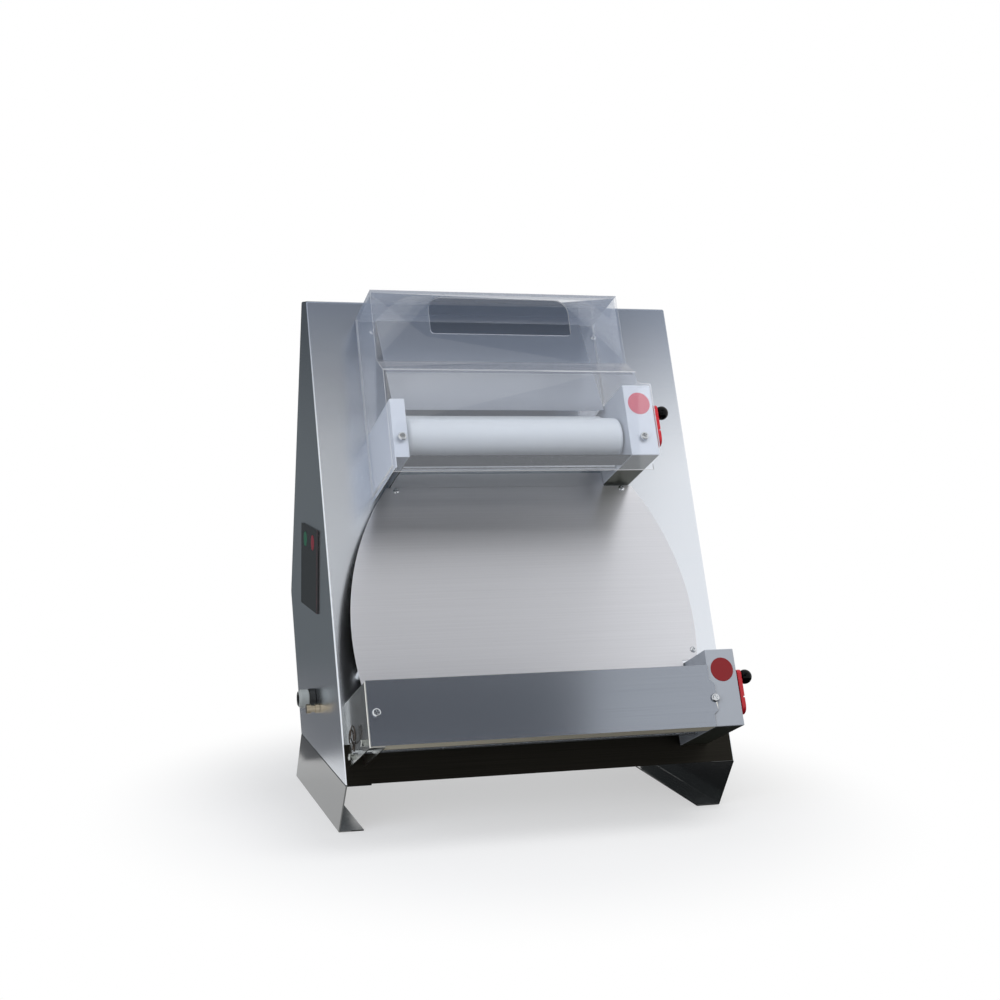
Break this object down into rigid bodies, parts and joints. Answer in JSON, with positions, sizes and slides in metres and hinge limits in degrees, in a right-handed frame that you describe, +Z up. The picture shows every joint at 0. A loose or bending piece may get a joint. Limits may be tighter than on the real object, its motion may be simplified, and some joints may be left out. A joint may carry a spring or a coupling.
{
  "type": "dough sheeter",
  "caption": "Electric dough sheeter: sloping steel body on bent feet, clear feed hood, upper and lower roller pairs with red gap levers, barrel-shaped slide and side control panel",
  "frame": {"origin": "bottom centre of the bounding box, on the surface that the feet stand on", "axes": "+Z up, front (rollers and hood) towards -Y, +X to the right of someone facing the front"},
  "size_m": [0.584, 0.5044, 0.7304],
  "materials": {
    "brushed_stainless": "brushed stainless sheet",
    "bright_steel": "bright turned steel",
    "light_grey_paint": "light grey satin paint",
    "white_plastic": "food grade white plastic",
    "machined_steel": "machined steel",
    "red_paint": "red satin paint",
    "black_plastic": "gloss black plastic",
    "clear_plastic": "clear polycarbonate sheet",
    "green_key": "green key film",
    "red_key": "red key film",
    "grey_plastic": "grey moulded plastic",
    "motor_grey": "grey painted casting",
    "black_rubber": "black rubber"
  },
  "bodies": {
    "machine": {"body_shell": "brushed_stainless", "rear_cover": "brushed_stainless", "base_plate": "brushed_stainless", "foot_left": "brushed_stainless", "foot_right": "brushed_stainless", "slide_plate": "brushed_stainless", "slide_spacer_left": "bright_steel", "slide_spacer_right": "bright_steel", "control_panel": "black_plastic", "cable_gland": "grey_plastic", "equipotential_terminal": "bright_steel", "electronics_box": "grey_plastic", "motor": "motor_grey", "motor_belt": "black_rubber", "transfer_belt": "black_rubber", "upper_shaft_carrier": "brushed_stainless", "lower_shaft_carrier": "brushed_stainless", "infeed_plate": "brushed_stainless", "hood": "clear_plastic", "hood_screw_left": "bright_steel", "hood_screw_right": "bright_steel", "front_cover": "brushed_stainless", "cover_screw_left": "bright_steel", "cover_screw_right": "bright_steel", "upper_left_bracket": "light_grey_paint", "upper_gear_case": "light_grey_paint", "lower_left_bracket": "light_grey_paint", "lower_gear_case": "light_grey_paint", "scraper_spring": "machined_steel"},
    "start_key": {"start_key": "green_key"},
    "stop_key": {"stop_key": "red_key"},
    "motor_pulley": {"motor_pulley": "machined_steel"},
    "lower_rear_roller": {"lower_rear_roller": "white_plastic", "lower_rear_shaft": "machined_steel", "lower_rear_gear": "machined_steel"},
    "lower_drive": {"lower_drive_shaft": "machined_steel", "lower_drive_gear": "machined_steel"},
    "lower_carriage": {"lower_left_block": "bright_steel", "lower_right_block": "bright_steel"},
    "lower_front_roller": {"lower_front_roller": "white_plastic", "lower_front_shaft": "machined_steel", "lower_front_gear": "machined_steel"},
    "lower_gap_lever": {"lower_crank_shaft": "machined_steel", "lower_lever": "red_paint", "lower_knob": "black_plastic"},
    "lower_scraper": {"lower_scraper": "bright_steel"},
    "upper_rear_roller": {"upper_rear_roller": "white_plastic", "upper_rear_shaft": "machined_steel", "upper_rear_gear": "machined_steel"},
    "upper_drive": {"upper_drive_shaft": "machined_steel", "upper_drive_gear": "machined_steel"},
    "upper_carriage": {"upper_left_block": "bright_steel", "upper_right_block": "bright_steel"},
    "upper_front_roller": {"upper_front_roller": "white_plastic", "upper_front_shaft": "machined_steel", "upper_front_gear": "machined_steel"},
    "upper_gap_lever": {"upper_crank_shaft": "machined_steel", "upper_lever": "red_paint", "upper_knob": "black_plastic"},
    "upper_scraper": {"upper_scraper": "bright_steel"}
  },
  "joints": [
    {"name": "lower_rear_roller_spin", "type": "hinge", "parent": "machine", "child": "lower_rear_roller", "pos_m": [0.012, -0.1377, 0.17098], "axis": [1, 0, 0], "continuous": true},
    {"name": "lower_drive_spin", "type": "hinge", "parent": "machine", "child": "lower_drive", "pos_m": [0.012, -0.07172, 0.14091], "axis": [1, 0, 0], "continuous": true},
    {"name": "lower_gap_lever_turn", "type": "hinge", "parent": "machine", "child": "lower_gap_lever", "pos_m": [0.012, -0.2237, 0.17098], "axis": [1, 0, 0], "range_deg": [0, 60]},
    {"name": "lower_gap_slide", "type": "slide", "parent": "machine", "child": "lower_carriage", "axis": [0, -1, 0], "range_m": [0, 0.004]},
    {"name": "lower_front_roller_spin", "type": "hinge", "parent": "lower_carriage", "child": "lower_front_roller", "pos_m": [0.012, -0.1987, 0.17098], "axis": [1, 0, 0], "continuous": true},
    {"name": "lower_scraper_pivot", "type": "hinge", "parent": "machine", "child": "lower_scraper", "pos_m": [0.012, -0.18897, 0.13083], "axis": [1, 0, 0], "range_deg": [0, 15], "stiffness_Nm_per_rad": 0.06, "springref_deg": -28.65},
    {"name": "upper_rear_roller_spin", "type": "hinge", "parent": "machine", "child": "upper_rear_roller", "pos_m": [0.012, 0.02362, 0.52495], "axis": [1, 0, 0], "continuous": true},
    {"name": "upper_drive_spin", "type": "hinge", "parent": "machine", "child": "upper_drive", "pos_m": [0.012, 0.08959, 0.49489], "axis": [1, 0, 0], "continuous": true},
    {"name": "upper_gap_lever_turn", "type": "hinge", "parent": "machine", "child": "upper_gap_lever", "pos_m": [0.012, -0.06238, 0.52495], "axis": [1, 0, 0], "range_deg": [0, 60]},
    {"name": "upper_gap_slide", "type": "slide", "parent": "machine", "child": "upper_carriage", "axis": [0, -1, 0], "range_m": [0, 0.004]},
    {"name": "upper_front_roller_spin", "type": "hinge", "parent": "upper_carriage", "child": "upper_front_roller", "pos_m": [0.012, -0.03738, 0.52495], "axis": [1, 0, 0], "continuous": true},
    {"name": "upper_scraper_pivot", "type": "hinge", "parent": "machine", "child": "upper_scraper", "pos_m": [0.012, -0.02765, 0.4848], "axis": [1, 0, 0], "range_deg": [0, 15], "stiffness_Nm_per_rad": 0.06, "springref_deg": -28.65},
    {"name": "motor_pulley_spin", "type": "hinge", "parent": "machine", "child": "motor_pulley", "pos_m": [0.012, 0.07418, 0.1433], "axis": [1, 0, 0], "continuous": true},
    {"name": "start_key_press", "type": "slide", "parent": "machine", "child": "start_key", "axis": [1, 0, 0], "range_m": [0, 0.0005], "stiffness_N_per_m": 500, "springref_m": -0.002},
    {"name": "stop_key_press", "type": "slide", "parent": "machine", "child": "stop_key", "axis": [1, 0, 0], "range_m": [0, 0.0005], "stiffness_N_per_m": 500, "springref_m": -0.002}
  ],
  "couplings": [
    {"joint": "lower_gap_lever_turn", "follows": "lower_gap_slide", "rad_per_m": 261.8},
    {"joint": "lower_drive_spin", "follows": "lower_rear_roller_spin", "ratio": -0.71429},
    {"joint": "lower_front_roller_spin", "follows": "lower_rear_roller_spin", "ratio": -1},
    {"joint": "upper_gap_lever_turn", "follows": "upper_gap_slide", "rad_per_m": 261.8},
    {"joint": "upper_drive_spin", "follows": "lower_rear_roller_spin", "ratio": -0.71429},
    {"joint": "upper_front_roller_spin", "follows": "lower_rear_roller_spin", "ratio": -1},
    {"joint": "upper_rear_roller_spin", "follows": "lower_rear_roller_spin", "ratio": 1},
    {"joint": "motor_pulley_spin", "follows": "lower_rear_roller_spin", "ratio": -1.2874}
  ]
}
